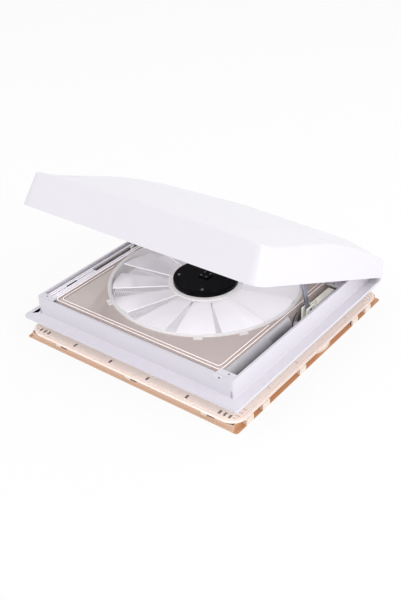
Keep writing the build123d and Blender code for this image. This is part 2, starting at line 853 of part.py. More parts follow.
def make_arm(side):
    """Flat steel lift arm with round ends."""
    tip_y, tip_z = arm_point(arm_length)
    mid_y, mid_z = arm_point(arm_length / 2)
    bar = Box(arm_thickness, arm_width, arm_length)
    body = Pos(side * arm_x, mid_y, mid_z) * Rot(90 - arm_rest_angle, 0, 0) * bar
    x0 = side * (arm_x - arm_thickness / 2)
    x1 = side * (arm_x + arm_thickness / 2)
    body += rod_x(arm_width / 2, x0, x1, tip_y, tip_z)
    body += rod_x(arm_boss_radius, x0, x1, arm_pivot_y, arm_pivot_z)
    body -= rod_x(arm_pin_radius + run_gap, x0 - side * overrun, x1 + side * overrun, arm_pivot_y,
                  arm_pivot_z)
    body -= rod_x(roller_pin_radius, x0 - side * overrun, x1 + side * overrun, tip_y, tip_z)
    return body


def make_roller_pin(side):
    """Pin fixed in the arm's tip that carries the roller."""
    tip_y, tip_z = arm_point(arm_length)
    x0 = side * (arm_x - arm_thickness / 2)
    x1 = side * (arm_x + arm_thickness / 2 + flat_gap + roller_length)
    return rod_x(roller_pin_radius, x0, x1, tip_y, tip_z)


def make_roller(side):
    """Plastic roller that runs in the lid's track."""
    tip_y, tip_z = arm_point(arm_length)
    x0 = side * (arm_x + arm_thickness / 2 + flat_gap)
    x1 = x0 + side * roller_length
    body = rod_x(roller_radius, x0, x1, tip_y, tip_z)
    return body - rod_x(roller_pin_radius + run_gap, x0 - side * overrun, x1 + side * overrun, tip_y, tip_z)


# Lid

def lid_y(distance):
    """The Y of a place on the closed lid at a distance in front of the hinge."""
    return hinge_y - distance


def lid_outline(inset):
    """Rounded outline of the lid's rim."""
    length = lid_reach + lid_back - 2 * inset
    middle = lid_y((lid_reach - lid_back) / 2)
    radius = lid_corner_radius - inset
    return Pos(0, middle, lid_rim_z) * RectangleRounded(2 * (lid_half_width - inset), length, radius)


def lid_cap(drop):
    """Solid below the lid's faceted top, lowered by a wall where a drop is given."""
    sections = []
    half = lid_half_width * lid_over_width_share
    crease = half * lid_crease_width_share
    rows = zip(lid_station_shares, lid_edge_shares, lid_crease_shares, lid_middle_shares)
    for place, edge, fold, middle in rows:
        plane = Plane(origin=(0, lid_y(place * lid_reach), lid_rim_z), x_dir=(1, 0, 0), z_dir=(0, 1, 0))
        points = [
            (-half, overrun * 2), (-half, -edge * lid_crown + drop), (-crease, -fold * lid_crown + drop),
            (0, -middle * lid_crown + drop),
            (crease, -fold * lid_crown + drop), (half, -edge * lid_crown + drop), (half, overrun * 2),
        ]
        sections.append(plane * make_face(Polyline(*points, close=True)))
    return loft(sections, ruled=True)


def make_lid_shell():
    """White lid shell with leaning walls and a faceted crown."""
    outer = extrude(lid_outline(0), lid_height, taper=lid_lean_angle) & lid_cap(0)
    inner = extrude(lid_outline(lid_wall), lid_height, taper=lid_lean_angle) & lid_cap(lid_wall)
    return outer - inner


def lid_inner_half(rise):
    """Half width inside the lid's walls at a height above the rim."""
    return lid_half_width - lid_wall - rise * math.tan(math.radians(lid_lean_angle))


def make_lid_frame():
    """Stiffening frame inside the lid's rim, open at the back for the hinges."""
    low = lid_rim_z + lid_rail_lift
    high = low + lid_rail_height
    half = lid_inner_half(lid_rail_lift + lid_rail_height) - flat_gap
    inner = half - lid_rail_width
    front = lid_y(lid_reach - lid_wall) + lid_half_width - lid_wall - half
    body = block(-half, half, front, lid_y(lid_back * 2), low, high)
    body -= block(-inner, inner, front + lid_rail_width, hinge_y, low - overrun, high + overrun)
    edges = body.edges().filter_by(Axis.Z).group_by(Axis.Y)[0]
    return fillet(edges, lid_corner_radius - lid_wall)


def make_track(side):
    """Slotted track plate that hangs from the lid's crown beside the arm."""
    x0 = side * (arm_x + arm_thickness / 2 + flat_gap + track_gap)
    x1 = x0 + side * (roller_length - track_gap * 2)
    half = roller_radius + track_play
    y0 = lid_y(track_end + track_margin)
    y1 = lid_y(track_start - track_margin)
    body = block(x0, x1, y0, y1, hinge_z - half - shell_wall, lid_pan_z)
    body -= block(x0 - side * overrun, x1 + side * overrun, lid_y(track_end), lid_y(track_start),
                  hinge_z - half, hinge_z + half)
    return body


def lid_space():
    """The space inside the lid shell, less a small gap."""
    inset = lid_wall + flat_gap
    return extrude(lid_outline(inset), lid_height, taper=lid_lean_angle) & lid_cap(inset)


def make_lid_pan():
    """Flat inner skin across the lid, above the upstand."""
    reach = lid_reach + lid_back
    sheet = block(-lid_half_width, lid_half_width, lid_y(reach), lid_y(-reach), lid_pan_z,
                  lid_pan_z + lid_pan_thickness)
    return sheet & lid_space()


def make_lid_seal():
    """Seal under the pan that closes on the upstand's top edge."""
    outer = upstand_half - lid_seal_inset
    ring = square_ring(outer, outer - lid_seal_width, upstand_corner_radius, upstand_top + flat_gap,
                       lid_pan_z)
    return ring & lid_space()


def make_hinge_brackets():
    """Two barrels on the back of the upstand."""
    solids = []
    half = hinge_barrel_length / 2
    for side in (-1, 1):
        x0 = side * hinge_place - half
        x1 = side * hinge_place + half
        body = rod_x(hinge_barrel_radius, x0, x1, hinge_y, hinge_z)
        body += block(x0, x1, upstand_half, hinge_y, hinge_z - hinge_barrel_radius,
                      hinge_z + hinge_barrel_radius)
        body -= rod_x(hinge_pin_radius + run_gap, x0 - overrun, x1 + overrun, hinge_y, hinge_z)
        solids.append(body)
    return group(solids)


def hinge_lug_spans():
    """X spans of the lid's lugs, either side of each barrel."""
    near = hinge_barrel_length / 2 + flat_gap
    far = near + hinge_lug_length
    spans = []
    for side in (-1, 1):
        centre = side * hinge_place
        spans.append((centre - far, centre - near))
        spans.append((centre + near, centre + far))
    return spans


def make_lid_hinges():
    """Four lugs on the lid's back wall, turning on the pins."""
    solids = []
    wall_y = hinge_y + lid_back - lid_wall
    lean = (hinge_z + hinge_leaf_height - lid_rim_z) * math.tan(math.radians(lid_lean_angle))
    for x0, x1 in hinge_lug_spans():
        body = rod_x(hinge_barrel_radius, x0, x1, hinge_y, hinge_z)
        body += block(x0, x1, hinge_y, wall_y - lean, hinge_z - hinge_leaf_height / 2,
                      hinge_z + hinge_leaf_height)
        body -= rod_x(hinge_pin_radius + run_gap, x0 - overrun, x1 + overrun, hinge_y, hinge_z)
        solids.append(body)
    return group(solids)


def make_hinge_pins():
    """Two hinge pins."""
    solids = []
    half = hinge_barrel_length / 2 + flat_gap + hinge_lug_length + hinge_pin_overhang
    for side in (-1, 1):
        solids.append(rod_x(hinge_pin_radius, side * hinge_place - half, side * hinge_place + half,
                            hinge_y, hinge_z))
    return group(solids)


side_words = (("left", -1), ("right", 1))


def main():
    """Build and write every node."""
    save("ceiling_trim", make_trim())
    save("ceiling_ledge", make_ledge())
    save("trim_clips", make_clips())
    save("arch_clips", make_arch_clips())
    save("trim_screws", make_trim_screws())
    save("outer_frame", make_outer_frame())
    save("roof_seal", make_roof_seal())
    save("clear_tray", make_tray())
    save("fan_shroud", make_shroud())
    save("finger_guard", make_guard())
    save("fan_impeller", make_impeller())
    save("fan_shaft", make_shaft())
    save("hub_collar", make_hub_collar())
    save("hub_cap", make_hub_cap())
    save("hub_screws", make_hub_screws())
    save("hub_plug", make_hub_plug())
    save("motor_case", make_motor_case())
    save("motor_stator", make_stator())
    save("motor_bearing", make_bearing())
    save("screen_frame", make_screen_frame())
    save("screen_net", make_screen_net())
    save("terminal_block", make_terminal())
    save("channel_fairing", make_fairing())
    save("channel_strip", make_strip())
    for word, side in side_words:
        save(f"side_rail_{word}", make_rail(side))
        save(f"foot_bracket_{word}", make_bracket(side))
        save(f"arm_stay_{word}", make_stay(side))
        save(f"arm_spring_{word}", make_spring(side))
        save(f"arm_pin_{word}", make_arm_pin(side))
        save(f"lift_arm_{word}", make_arm(side))
        save(f"roller_pin_{word}", make_roller_pin(side))
        save(f"track_roller_{word}", make_roller(side))
        save(f"lid_track_{word}", lifted(make_track(side)))
    save("hinge_brackets", make_hinge_brackets())
    save("hinge_pins", make_hinge_pins())
    save("lid_shell", lifted(make_lid_shell()))
    save("lid_frame", lifted(make_lid_frame()))
    save("lid_pan", lifted(make_lid_pan()))
    save("lid_seal", lifted(make_lid_seal()))
    save("lid_hinges", lifted(make_lid_hinges()))


main()
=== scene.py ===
import json
import math

import bmesh
import bpy
from mathutils import Matrix, Vector

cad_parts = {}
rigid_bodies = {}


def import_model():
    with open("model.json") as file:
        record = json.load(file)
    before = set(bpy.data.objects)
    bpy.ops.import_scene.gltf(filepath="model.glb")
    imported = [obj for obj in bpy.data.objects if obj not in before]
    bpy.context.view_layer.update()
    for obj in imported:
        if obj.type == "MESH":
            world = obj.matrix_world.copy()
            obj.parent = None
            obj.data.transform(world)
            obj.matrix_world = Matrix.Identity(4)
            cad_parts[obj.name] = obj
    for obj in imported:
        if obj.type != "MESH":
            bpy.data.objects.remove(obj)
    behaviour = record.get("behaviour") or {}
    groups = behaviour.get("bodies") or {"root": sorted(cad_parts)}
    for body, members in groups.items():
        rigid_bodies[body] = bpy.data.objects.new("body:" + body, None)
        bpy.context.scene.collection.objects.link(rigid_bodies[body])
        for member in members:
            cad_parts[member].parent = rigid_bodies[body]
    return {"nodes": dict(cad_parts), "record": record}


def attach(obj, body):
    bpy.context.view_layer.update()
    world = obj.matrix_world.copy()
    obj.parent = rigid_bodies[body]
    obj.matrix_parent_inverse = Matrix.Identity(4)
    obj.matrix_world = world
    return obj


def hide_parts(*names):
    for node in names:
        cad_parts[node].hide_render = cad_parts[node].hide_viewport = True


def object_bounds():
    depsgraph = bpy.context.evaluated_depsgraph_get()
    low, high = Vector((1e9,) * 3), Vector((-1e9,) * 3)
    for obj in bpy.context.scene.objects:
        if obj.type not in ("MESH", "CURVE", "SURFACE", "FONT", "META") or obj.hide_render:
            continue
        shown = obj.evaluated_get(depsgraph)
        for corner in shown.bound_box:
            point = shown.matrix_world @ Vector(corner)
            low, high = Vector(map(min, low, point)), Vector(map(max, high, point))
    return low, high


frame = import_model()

mm = 0.001
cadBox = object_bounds()
nodes = frame["nodes"]

# The camera stands where the reference view was taken from
cameraView = {
    "position": (847.7 * mm, -1076.0 * mm, 915.3 * mm),
    "azimuth": math.radians(38.72),
    "elevation": math.radians(32.59),
    "roll": math.radians(-2.42),
    "focalPixels": 862.42,
    "imageHeight": 601,
    "sensorHeight": 36.0,
    "nearClip": 50.0 * mm,
}


def makeCamera(view):
    a, e, r = view["azimuth"], view["elevation"], view["roll"]
    back = Vector((math.sin(a) * math.cos(e), -math.cos(a) * math.cos(e), math.sin(e)))
    level = Vector((math.cos(a), math.sin(a), 0))
    upright = back.cross(level)
    right = math.cos(r) * level + math.sin(r) * upright
    up = math.cos(r) * upright - math.sin(r) * level
    data = bpy.data.cameras.new("viewCamera")
    data.sensor_fit = "VERTICAL"
    data.sensor_height = view["sensorHeight"]
    data.lens = view["focalPixels"] * view["sensorHeight"] / view["imageHeight"]
    data.clip_start = view["nearClip"]
    camera = bpy.data.objects.new("viewCamera", data)
    turn = Matrix((right, up, back)).transposed().to_4x4()
    camera.matrix_world = Matrix.Translation(view["position"]) @ turn
    bpy.context.scene.collection.objects.link(camera)
    bpy.context.scene.camera = camera


makeCamera(cameraView)
print("camera placed")


# Shared shader effects, each a node group that is built once

def newGroup(name, inputs):
    group = bpy.data.node_groups.new(name, "ShaderNodeTree")
    for label, value in inputs.items():
        kind = "NodeSocketColor" if isinstance(value, tuple) else "NodeSocketFloat"
        socket = group.interface.new_socket(name=label, in_out="INPUT", socket_type=kind)
        socket.default_value = value
    for label in ("Colour", "Roughness", "Height"):
        kind = "NodeSocketColor" if label == "Colour" else "NodeSocketFloat"
        group.interface.new_socket(name=label, in_out="OUTPUT", socket_type=kind)
    return group, group.nodes.new("NodeGroupInput").outputs


def closeGroup(group, colour, roughness, height):
    end = group.nodes.new("NodeGroupOutput")
    for label, value in (("Colour", colour), ("Roughness", roughness), ("Height", height)):
        group.links.new(value, end.inputs[label])
    return group


def feed(tree, socket, value):
    # A number or a colour is set on the socket, anything else is linked to it
    if isinstance(value, (int, float, tuple)):
        socket.default_value = value
    else:
        tree.links.new(value, socket)


def mathNode(tree, operation, a, b=None, clamp=False):
    node = tree.nodes.new("ShaderNodeMath")
    node.operation = operation
    node.use_clamp = clamp
    feed(tree, node.inputs[0], a)
    if b is not None:
        feed(tree, node.inputs[1], b)
    return node.outputs[0]


def mixColours(tree, factor, first, second):
    node = tree.nodes.new("ShaderNodeMix")
    node.data_type = "RGBA"
    for index, value in ((0, factor), (6, first), (7, second)):      # its colour sockets
        feed(tree, node.inputs[index], value)
    return node.outputs[2]


def noiseNode(tree, place, scale, detail):
    node = tree.nodes.new("ShaderNodeTexNoise")
    node.inputs["Detail"].default_value = detail
    tree.links.new(place, node.inputs["Vector"])
    feed(tree, node.inputs["Scale"], scale)
    return node.outputs["Fac"]


def spread(tree, value, fromRange, toRange=(0.0, 1.0)):
    node = tree.nodes.new("ShaderNodeMapRange")
    tree.links.new(value, node.inputs["Value"])
    for label, number in zip(("From Min", "From Max", "To Min", "To Max"), fromRange + toRange):
        node.inputs[label].default_value = number
    return node.outputs[0]


def aroundZero(tree, value, amount):
    # A noise of 0 to 1 turned into a swing to both sides of zero
    return mathNode(tree, "MULTIPLY", mathNode(tree, "SUBTRACT", value, 0.5), amount)


# Moulded plastic: slow tone drift, fine grain, lighter edges (wear, and painted highlight on clear
# and frosted plastic) and dust in the hollows
mouldedEffect = {
    "driftScale": 9.0,
    "patchScale": 70.0,
    "edgePointiness": (0.53, 0.62),
    "hollowPointiness": (0.48, 0.40),
    "shineSwing": 0.16,
    "dustRoughness": 0.3,
}


def buildMouldedGroup(effect):
    group, given = newGroup("mouldedSurface", {
        "Colour": (0.8, 0.8, 0.8, 1),
        "Edge Colour": (0.9, 0.9, 0.9, 1),
        "Dust Colour": (0.45, 0.4, 0.36, 1),
        "Drift": 0.05,
        "Grain Scale": 900.0,
        "Edge Amount": 0.3,
        "Dust Amount": 0.2,
        "Roughness": 0.35,
    })
    place = group.nodes.new("ShaderNodeTexCoord").outputs["Object"]
    slow = noiseNode(group, place, effect["driftScale"], detail=4.0)
    patches = noiseNode(group, place, effect["patchScale"], detail=3.0)
    grain = noiseNode(group, place, given["Grain Scale"], detail=2.0)
    tone = mathNode(group, "ADD", aroundZero(group, slow, given["Drift"]), 1.0)
    hue = group.nodes.new("ShaderNodeHueSaturation")
    group.links.new(given["Colour"], hue.inputs["Color"])
    group.links.new(tone, hue.inputs["Value"])
    point = group.nodes.new("ShaderNodeNewGeometry").outputs["Pointiness"]
    # Lighter convex edges: wear on opaque plastic, painted highlight on clear and frosted plastic
    edgeWearAndHighlightMask = mathNode(group, "MULTIPLY", spread(group, point, effect["edgePointiness"]), patches)
    edgeWearAndHighlightMask = mathNode(group, "MULTIPLY", edgeWearAndHighlightMask, given["Edge Amount"], clamp=True)
    dust = mathNode(group, "MULTIPLY", spread(group, point, effect["hollowPointiness"]), patches)
    dust = mathNode(group, "MULTIPLY", dust, given["Dust Amount"], clamp=True)
    colour = mixColours(group, edgeWearAndHighlightMask, hue.outputs["Color"], given["Edge Colour"])
    colour = mixColours(group, dust, colour, given["Dust Colour"])
    shine = aroundZero(group, patches, effect["shineSwing"])
    shine = mathNode(group, "ADD", shine, given["Roughness"])
    dulled = mathNode(group, "MULTIPLY", dust, effect["dustRoughness"])
    shine = mathNode(group, "ADD", shine, dulled, clamp=True)
    return closeGroup(group, colour, shine, grain)


# Plated steel: fine drawn lines and cloudy tarnish
brushedEffect = {
    "stretch": (1.0, 0.08, 0.08),
    "cloudScale": 60.0,
    "cloudRange": (0.45, 0.75),
    "tarnishRange": (0.0, 0.6),
    "lineRoughness": 0.2,
}


def buildBrushedGroup(effect):
    group, given = newGroup("brushedMetal", {
        "Colour": (0.5, 0.5, 0.55, 1),
        "Tarnish": (0.2, 0.2, 0.24, 1),
        "Line Scale": 1200.0,
        "Roughness": 0.3,
    })
    place = group.nodes.new("ShaderNodeTexCoord").outputs["Object"]
    stretch = group.nodes.new("ShaderNodeMapping")
    stretch.inputs["Scale"].default_value = effect["stretch"]
    group.links.new(place, stretch.inputs["Vector"])
    lines = noiseNode(group, stretch.outputs[0], given["Line Scale"], detail=2.0)
    clouds = noiseNode(group, place, effect["cloudScale"], detail=4.0)
    mask = spread(group, clouds, effect["cloudRange"], effect["tarnishRange"])
    colour = mixColours(group, mask, given["Colour"], given["Tarnish"])
    shine = mathNode(group, "MULTIPLY", lines, effect["lineRoughness"])
    shine = mathNode(group, "ADD", shine, given["Roughness"], clamp=True)
    return closeGroup(group, colour, shine, lines)


# Painted shade: a darker colour that comes in away from the middle, above a level, with painted
# shade in the grooves as stripes along Y
paintedShadeEffect = {
    "cloudScale": 60.0,
    "cloudSwing": 0.12,
    "grainScale": 800.0,
}


def buildPaintedShadeGroup(effect):
    group, given = newGroup("paintedSideShade", {
        "Colour": (0.8, 0.8, 0.8, 1),
        "Painted Shade Colour": (0.1, 0.1, 0.1, 1),
        "From": 0.0,
        "To": 1.0,
        "Low": -1.0,
        "Stripe Pitch": 1.0,
        "Groove Shade Amount": 0.0,
        "Roughness": 0.4,
    })
    place = group.nodes.new("ShaderNodeTexCoord").outputs["Object"]
    axes = group.nodes.new("ShaderNodeSeparateXYZ")
    group.links.new(place, axes.inputs[0])
    # The painted shade colour comes in with the distance from the middle, above the low level
    ramp = group.nodes.new("ShaderNodeMapRange")
    group.links.new(mathNode(group, "ABSOLUTE", axes.outputs["X"]), ramp.inputs["Value"])
    group.links.new(given["From"], ramp.inputs["From Min"])
    group.links.new(given["To"], ramp.inputs["From Max"])
    above = mathNode(group, "GREATER_THAN", axes.outputs["Z"], given["Low"])
    mask = mathNode(group, "MULTIPLY", ramp.outputs[0], above)
    # Cosine stripes along Y paint shade in the grooves between the ribs
    turns = mathNode(group, "DIVIDE", axes.outputs["Y"], given["Stripe Pitch"])
    wave = mathNode(group, "COSINE", mathNode(group, "MULTIPLY", turns, 2 * math.pi))
    wave = mathNode(group, "MULTIPLY", mathNode(group, "ADD", wave, 1.0), 0.5)
    grooveShade = mathNode(group, "MULTIPLY", wave, given["Groove Shade Amount"])
    cloud = noiseNode(group, place, effect["cloudScale"], detail=4.0)
    grain = noiseNode(group, place, effect["grainScale"], detail=2.0)
    soft = aroundZero(group, cloud, effect["cloudSwing"])
    mask = mathNode(group, "ADD", mathNode(group, "ADD", mask, grooveShade), soft, clamp=True)
    colour = mixColours(group, mask, given["Colour"], given["Painted Shade Colour"])
    shine = mathNode(group, "ADD", given["Roughness"], soft, clamp=True)
    return closeGroup(group, colour, shine, grain)


mouldedGroup = buildMouldedGroup(mouldedEffect)
paintedShadeGroup = buildPaintedShadeGroup(paintedShadeEffect)
brushedGroup = buildBrushedGroup(brushedEffect)
print("shader groups built")

grainDepth = 0.3 * mm
lineDepth = 0.2 * mm
lineBump = 0.12


def addSurface(name, group, values, bump, depth, shader):
    material = bpy.data.materials.new(name)
    material.use_nodes = True
    tree = material.node_tree
    principled = tree.nodes["Principled BSDF"]
    for label, value in shader.items():
        principled.inputs[label].default_value = value
    effect = tree.nodes.new("ShaderNodeGroup")
    effect.node_tree = group
    for label, value in values.items():
        effect.inputs[label].default_value = value
    tree.links.new(effect.outputs["Colour"], principled.inputs["Base Color"])
    tree.links.new(effect.outputs["Roughness"], principled.inputs["Roughness"])
    relief = tree.nodes.new("ShaderNodeBump")
    relief.inputs["Strength"].default_value = bump
    relief.inputs["Distance"].default_value = depth
    tree.links.new(effect.outputs["Height"], relief.inputs["Height"])
    tree.links.new(relief.outputs["Normal"], principled.inputs["Normal"])
    return material


def plastic(name, colour, edge=None, drift=0.05, grain=900.0, rough=0.35, bump=0.08, edgeWearAndHighlight=0.3,
            dust=0.2, dustColour=(0.42, 0.36, 0.33, 1), **shader):
    values = {
        "Colour": colour + (1,),
        "Edge Colour": (edge or colour) + (1,),
        "Dust Colour": dustColour,
        "Drift": drift,
        "Grain Scale": grain,
        "Edge Amount": edgeWearAndHighlight,
        "Dust Amount": dust,
        "Roughness": rough,
    }
    return addSurface(name, mouldedGroup, values, bump, grainDepth, shader)


def metal(name, colour, tarnish, rough, lineScale=1200.0):
    values = {
        "Colour": colour + (1,),
        "Tarnish": tarnish + (1,),
        "Line Scale": lineScale,
        "Roughness": rough,
    }
    return addSurface(name, brushedGroup, values, lineBump, lineDepth, {"Metallic": 1.0})


# A surface whose second colour is painted shade, away from the middle and in stripes along Y
def paintedShadeSurface(name, colour, shadeColour, start, end, low=-1.0, pitch=1.0, amount=0.0, rough=0.4, bump=0.08):
    values = {
        "Colour": colour + (1,),
        "Painted Shade Colour": shadeColour + (1,),
        "From": start,
        "To": end,
        "Low": low,
        "Stripe Pitch": pitch,
        "Groove Shade Amount": amount,
        "Roughness": rough,
    }
    return addSurface(name, paintedShadeGroup, values, bump, grainDepth, {})


# One finish for each slot, and rim_highlight for the painted highlights on the tray's ribs
finishes = {
    "white_lid": plastic(
        "lidWhite", (0.86, 0.845, 0.875), (0.86, 0.85, 0.87), drift=0.03, grain=500.0,
        rough=0.32, bump=0.04, dust=0.1, **{"Coat Weight": 0.25, "Coat Roughness": 0.12}),
    "white_frame": plastic(
        "frameWhite", (0.80, 0.775, 0.83), (0.88, 0.87, 0.90), grain=700.0, rough=0.36,
        bump=0.06, dust=0.35, dustColour=(0.36, 0.33, 0.34, 1), **{"Coat Weight": 0.15}),
    "cream_ledge": plastic(
        "ledgeCream", (0.78, 0.66, 0.60), (0.86, 0.77, 0.72), rough=0.45, grain=650.0,
        bump=0.12, dust=0.12, dustColour=(0.42, 0.28, 0.2, 1)),
    # Painted shade: the darker brown on the trim's outer wall stands for the shade in the window
    # gaps
    "tan_trim": paintedShadeSurface(
        "trimTanPaintedShade", (0.80, 0.57, 0.42), (0.62, 0.34, 0.18), 230.5 * mm, 231.5 * mm,
        low=0.8 * mm, rough=0.48, bump=0.12),
    "cream_clip": plastic(
        "clipCream", (0.88, 0.78, 0.68), (0.92, 0.85, 0.78), rough=0.42, grain=600.0, bump=0.1),
    # The near-white edge colour at a high edge amount paints highlights on the clear tray's edges
    "clear_plastic": plastic(
        "clearSmoky", (0.44, 0.375, 0.35), (0.9, 0.82, 0.79), rough=0.10, grain=160.0,
        bump=0.05, edgeWearAndHighlight=0.9, dust=0.3, drift=0.2,
        **{"Alpha": 0.86, "Specular IOR Level": 0.8, "Coat Weight": 0.6, "Coat Roughness": 0.05}),
    # The near-white edge colour paints a bright highlight on the ring's edges
    "clear_ring": plastic(
        "clearRing", (0.82, 0.80, 0.81), (1.0, 0.98, 0.96), rough=0.08, grain=160.0,
        bump=0.05, edgeWearAndHighlight=0.9, dust=0.1, drift=0.15,
        **{"Alpha": 0.62, "Coat Weight": 0.7, "Coat Roughness": 0.05}),
    "grey_strip": plastic(
        "stripGrey", (0.46, 0.44, 0.43), (0.7, 0.68, 0.67), rough=0.35, grain=700.0, dust=0.4),
    # Painted shade: near black towards the upstand, deep in the channel, with darker stripes in
    # the rib grooves
    "grey_ribbed": paintedShadeSurface(
        "ribbedGreyPaintedShade", (0.72, 0.71, 0.74), (0.012, 0.012, 0.014), 190.0 * mm, 213.0 * mm,
        pitch=2.6 * mm, amount=0.2, rough=0.35),
    # Painted highlight colour for the lines on the tray's ribs
    "rim_highlight": plastic(
        "rimHighlight", (0.97, 0.86, 0.83), (1.0, 0.95, 0.93), rough=0.12, **{"Coat Weight": 0.6}),
    # The lighter edge colour paints highlights along the blades' edges
    "frosted_plastic": plastic(
        "frostedBlades", (0.88, 0.86, 0.89), (0.96, 0.95, 0.97), rough=0.22, grain=220.0,
        edgeWearAndHighlight=0.7, **{"Alpha": 0.92, "Coat Weight": 0.4, "Coat Roughness": 0.1}),
    "black_gloss": plastic(
        "blackGloss", (0.004, 0.004, 0.005), (0.06, 0.06, 0.065), drift=0.3, rough=0.16,
        grain=300.0, bump=0.03, dust=0.15, dustColour=(0.12, 0.11, 0.11, 1),
        **{"Specular IOR Level": 0.05}),
    "black_foam": plastic("blackFoam", (0.02, 0.02, 0.02), rough=0.9, grain=1500.0, bump=0.6),
    "grey_seal": plastic("sealGrey", (0.30, 0.30, 0.31), rough=0.6, bump=0.2),
    "steel": metal("platedSteel", (0.42, 0.44, 0.52), (0.2, 0.2, 0.27), rough=0.28),
    "black_steel": plastic(
        "blackPaint", (0.014, 0.014, 0.016), (0.2, 0.2, 0.21), drift=0.3, rough=0.3, edgeWearAndHighlight=0.5),
    "net_grey": plastic("netThread", (0.46, 0.42, 0.41), rough=0.7, grain=1600.0, bump=0.3),
    "taupe_frame": plastic(
        "taupeMoulding", (0.46, 0.36, 0.32), (0.6, 0.5, 0.46), rough=0.45, grain=700.0),
    "bronze": metal(
        "sinteredBronze", (0.62, 0.42, 0.2), (0.3, 0.18, 0.08), rough=0.4, lineScale=400.0),
    "iron": metal(
        "laminatedIron", (0.16, 0.16, 0.17), (0.08, 0.05, 0.04), rough=0.5, lineScale=800.0),
    "white_mech": plastic(
        "mechanismCream", (0.76, 0.75, 0.68), (0.86, 0.86, 0.8), rough=0.4, grain=700.0,
        dust=0.5),
}
print("materials built:", len(finishes))

slotOf = {part["node"]: part["material_slot"] for part in frame["record"]["subparts"]}
bodyMembers = frame["record"]["behaviour"]["bodies"]
bodyOf = {node: body for body, members in bodyMembers.items() for node in members}


def dress(piece, slotName):
    piece.data.materials.clear()
    piece.data.materials.append(finishes[slotName])


for nodeName, nodeObject in nodes.items():
    for materialSlot in nodeObject.material_slots:
        materialSlot.material = finishes[slotOf[nodeName]]
print("CAD nodes dressed:", len(nodes))


# Mesh helpers: the first four add to lists of points and faces, the rest make pieces of them

def ringMesh(vertices, faces, inner, outer, low, high, turns):
    first = len(vertices)
    for k in range(turns):
        angle = 2 * math.pi * k / turns
        c, s = math.cos(angle), math.sin(angle)
        for radius, z in ((inner, low), (outer, low), (outer, high), (inner, high)):
            vertices.append((radius * c, radius * s, z))
    for k in range(turns):
        a = first + 4 * k
        b = first + 4 * ((k + 1) % turns)
        for i in range(4):
            j = (i + 1) % 4
            faces.append((a + i, b + i, b + j, a + j))


def boxMesh(vertices, faces, outline, levels):
    # A box over four corners, between two levels
    first = len(vertices)
    vertices.extend((x, y, z) for z in levels for x, y in outline)
    sides = ((0, 1, 2, 3), (7, 6, 5, 4), (0, 4, 5, 1), (1, 5, 6, 2), (2, 6, 7, 3), (3, 7, 4, 0))
    for quad in sides:
        faces.append(tuple(first + k for k in quad))


def squareBox(vertices, faces, xs, ys, zs):
    # A box between two values along each axis
    (x0, x1), (y0, y1) = xs, ys
    boxMesh(vertices, faces, ((x0, y0), (x1, y0), (x1, y1), (x0, y1)), zs)


def discMesh(vertices, faces, centre, axis, radius, depth, turns=16):
    # A short round peg that stands up along Z, or to the front along Y
    first = len(vertices)
    for level in (0.0, depth):
        for k in range(turns):
            angle = 2 * math.pi * k / turns
            a, b = radius * math.cos(angle), radius * math.sin(angle)
            if axis == "Z":
                vertices.append((centre[0] + a, centre[1] + b, centre[2] + level))
            else:
                vertices.append((centre[0] + a, centre[1] - level, centre[2] + b))
    for k in range(turns):
        n = (k + 1) % turns
        faces.append((first + k, first + n, first + turns + n, first + turns + k))
    for start in (first, first + turns):
        faces.append(tuple(start + k for k in range(turns)))


def finishMesh(name, vertices, faces, crispAngle=None):
    # The faces are turned outward, and edges over the angle stay crisp
    mesh = bpy.data.meshes.new(name)
    mesh.from_pydata(vertices, [], faces)
    work = bmesh.new()
    work.from_mesh(mesh)
    bmesh.ops.recalc_face_normals(work, faces=work.faces)
    if crispAngle is not None:
        for edge in work.edges:
            if len(edge.link_faces) == 2 and edge.calc_face_angle(0) > crispAngle:
                edge.smooth = False
    work.to_mesh(mesh)
    work.free()
    return mesh


def newPiece(name, mesh, body, slotName, smooth=True):
    piece = bpy.data.objects.new(name, mesh)
    bpy.context.scene.collection.objects.link(piece)
    dress(piece, slotName)
    if smooth:
        mesh.polygons.foreach_set("use_smooth", [True] * len(mesh.polygons))
    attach(piece, body)
    return piece


def boxPiece(name, slotName, boxes):
    # One fixed piece of square boxes, each given by its X, Y and Z ranges
    vertices, faces = [], []
    for xs, ys, zs in boxes:
        squareBox(vertices, faces, xs, ys, zs)
    return newPiece(name, finishMesh(name, vertices, faces), "base", slotName, smooth=False)


def discPiece(name, body, slotName, centres, radius, depth, axis="Z"):
    vertices, faces = [], []
    for centre in centres:
        discMesh(vertices, faces, centre, axis, radius, depth)
    return newPiece(name, finishMesh(name, vertices, faces), body, slotName, smooth=False)


# Rounded edges on the CAD pieces, in millimetres
edgeRounding = {
    "outer_frame": 0.8, "ceiling_trim": 0.5, "ceiling_ledge": 0.5, "trim_clips": 0.5,
    "arch_clips": 0.5, "clear_tray": 0.4, "fan_shroud": 0.4, "hinge_brackets": 0.5,
    "lid_hinges": 0.5, "lift_arm_left": 0.4, "lift_arm_right": 0.4, "foot_bracket_left": 0.6,
    "foot_bracket_right": 0.6, "channel_strip": 0.3, "side_rail_left": 0.4,
    "side_rail_right": 0.4, "fan_impeller": 0.3, "terminal_block": 0.4, "hub_plug": 0.3,
    "lid_frame": 0.6, "lid_track_left": 0.4, "lid_track_right": 0.4, "arm_stay_left": 0.3,
    "arm_stay_right": 0.3,
}
roundingTool = {
    "segments": 2,
    "edgeAngle": math.radians(35),
    "mergeDistance": 0.02 * mm,
    "flatAngle": math.radians(1.0),
    "flatWeight": 100,
}


